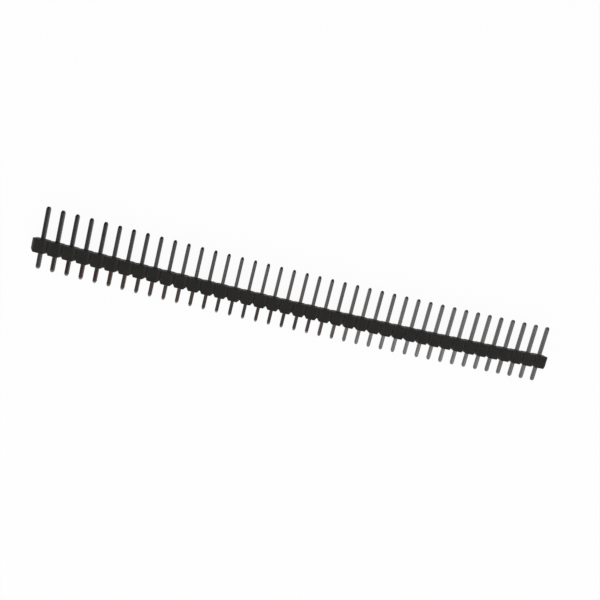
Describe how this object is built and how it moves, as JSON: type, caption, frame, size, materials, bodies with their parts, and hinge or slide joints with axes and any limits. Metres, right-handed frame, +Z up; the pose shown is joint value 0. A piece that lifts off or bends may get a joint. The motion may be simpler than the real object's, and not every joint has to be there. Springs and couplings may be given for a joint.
{
  "type": "pin header strip",
  "caption": "Single-row straight pin header: square metal pins pressed through a black moulded strip with snap-off notches, soldered to a board and plugged into a socket.",
  "frame": {"origin": "on the resting surface, under the middle of the part's box", "axes": "+X along the row, +Y along the long ends of the pins, +Z up from the side face that it lies on"},
  "size_m": [0.102, 0.0122, 0.0025],
  "materials": {
    "moulding": "black glass-filled moulding, fine matte grain",
    "plated_pin": "dull bright-tin plating over drawn brass wire"
  },
  "bodies": {
    "root": {"insulator": "moulding", "pin_01": "plated_pin", "pin_02": "plated_pin", "pin_03": "plated_pin", "pin_04": "plated_pin", "pin_05": "plated_pin", "pin_06": "plated_pin", "pin_07": "plated_pin", "pin_08": "plated_pin", "pin_09": "plated_pin", "pin_10": "plated_pin", "pin_11": "plated_pin", "pin_12": "plated_pin", "pin_13": "plated_pin", "pin_14": "plated_pin", "pin_15": "plated_pin", "pin_16": "plated_pin", "pin_17": "plated_pin", "pin_18": "plated_pin", "pin_19": "plated_pin", "pin_20": "plated_pin", "pin_21": "plated_pin", "pin_22": "plated_pin", "pin_23": "plated_pin", "pin_24": "plated_pin", "pin_25": "plated_pin", "pin_26": "plated_pin", "pin_27": "plated_pin", "pin_28": "plated_pin", "pin_29": "plated_pin", "pin_30": "plated_pin", "pin_31": "plated_pin", "pin_32": "plated_pin", "pin_33": "plated_pin", "pin_34": "plated_pin", "pin_35": "plated_pin", "pin_36": "plated_pin", "pin_37": "plated_pin", "pin_38": "plated_pin", "pin_39": "plated_pin", "pin_40": "plated_pin"}
  },
  "joints": []
}
